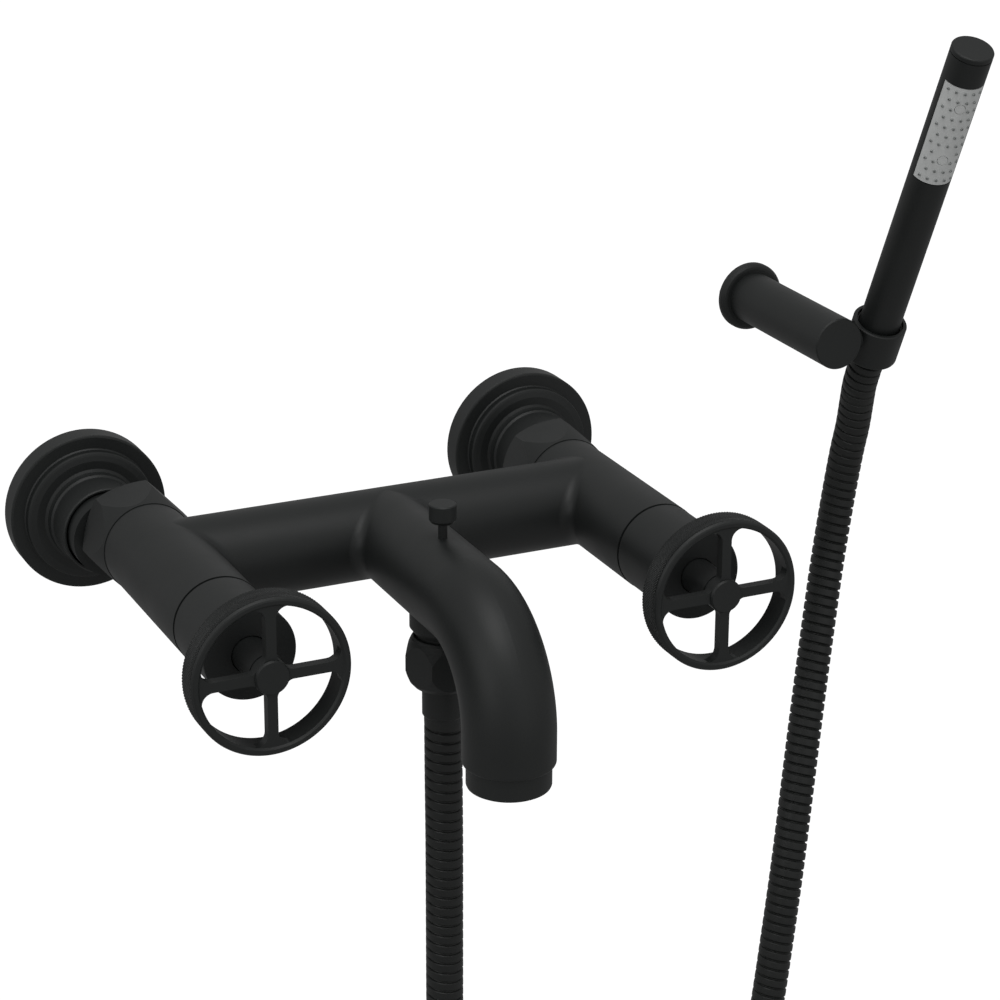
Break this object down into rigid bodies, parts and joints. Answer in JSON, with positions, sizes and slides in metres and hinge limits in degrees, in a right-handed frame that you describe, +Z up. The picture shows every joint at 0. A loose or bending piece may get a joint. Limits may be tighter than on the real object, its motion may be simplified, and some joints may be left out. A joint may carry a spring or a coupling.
{
  "type": "wall mounted bath faucet",
  "caption": "Exposed wall mounted bath filler with curved spout, two wheel valves, pull-up diverter, flexible hose and slim hand shower on a wall bracket.",
  "frame": {"origin": "midway between the two supply inlets, on the finished wall face", "axes": "+X to the right along the cross tube, +Y into the wall, +Z up"},
  "size_m": [0.3855, 0.2447, 0.7854],
  "materials": {
    "matte_black": "matte",
    "black_hose": "satin",
    "brass": "satin",
    "ceramic": "polished",
    "black_rubber": "matte",
    "stainless": "satin",
    "acetal": "matte",
    "grey_silicone": "matte"
  },
  "bodies": {
    "root": {"escutcheon_left": "matte_black", "escutcheon_right": "matte_black", "s_union_left": "matte_black", "s_union_right": "matte_black", "union_nut_left": "matte_black", "union_nut_right": "matte_black", "inlet_tail_left": "brass", "inlet_tail_right": "brass", "union_washers": "black_rubber", "valve_barrel_left": "matte_black", "valve_barrel_right": "matte_black", "cartridge_left": "brass", "cartridge_right": "brass", "cartridge_seals": "black_rubber", "fixed_discs": "ceramic", "spindle_o_rings": "black_rubber", "valve_sleeve_left": "matte_black", "valve_sleeve_right": "matte_black", "cross_tube": "matte_black", "spout": "matte_black", "aerator_housing": "matte_black", "aerator_insert": "acetal", "aerator_washer": "black_rubber", "diverter_partition": "brass", "diverter_gland": "brass", "hose_outlet": "matte_black", "hose_washer": "black_rubber", "hose_nut": "matte_black", "hose_ferrule": "matte_black", "shower_hose": "black_hose", "bracket_plate": "stainless", "bracket_flange": "matte_black", "bracket_post": "matte_black", "bracket_screws": "stainless", "pivot_screw": "stainless", "pivot_washer": "acetal"},
    "left_handle": {"moving_disc_left": "ceramic", "spindle_left": "brass", "handle_stem_left": "matte_black", "handle_screw_left": "stainless", "wheel_left": "matte_black", "knurled_ring_left": "matte_black"},
    "right_handle": {"moving_disc_right": "ceramic", "spindle_right": "brass", "handle_stem_right": "matte_black", "handle_screw_right": "stainless", "wheel_right": "matte_black", "knurled_ring_right": "matte_black"},
    "diverter": {"diverter_knob": "matte_black", "diverter_rod": "matte_black", "diverter_plunger": "brass", "diverter_washers": "black_rubber"},
    "holder": {"holder_sleeve": "matte_black", "holder_liner": "black_rubber"},
    "hose_end": {"hose_collar": "matte_black"},
    "hand_shower": {"wand_tube": "matte_black", "wand_cap": "matte_black", "wand_inlet": "brass", "spray_plate": "grey_silicone", "spray_plugs": "grey_silicone"}
  },
  "joints": [
    {"name": "left_wheel_turn", "type": "hinge", "parent": "root", "child": "left_handle", "pos_m": [-0.093, -0.18, 0.0035], "axis": [0, 1, 0], "range_deg": [0, 90]},
    {"name": "right_wheel_turn", "type": "hinge", "parent": "root", "child": "right_handle", "pos_m": [0.093, -0.18, 0.0035], "axis": [0, -1, 0], "range_deg": [0, 90]},
    {"name": "diverter_lift", "type": "slide", "parent": "root", "child": "diverter", "axis": [0, 0, 1], "range_m": [0, 0.006]},
    {"name": "holder_tilt", "type": "hinge", "parent": "root", "child": "holder", "pos_m": [0.2403, -0.0715, 0.0522], "axis": [1, 0, 0], "range_deg": [-20, 12], "deforming": ["shower_hose"]},
    {"name": "handset_lift", "type": "slide", "parent": "holder", "child": "hose_end", "axis": [0, -0.4067, 0.9135], "range_m": [0, 0.04], "deforming": ["shower_hose"]},
    {"name": "handset_turn", "type": "hinge", "parent": "hose_end", "child": "hand_shower", "pos_m": [0.2403, -0.07272, 0.05494], "axis": [0, -0.4067, 0.9135], "continuous": true}
  ]
}
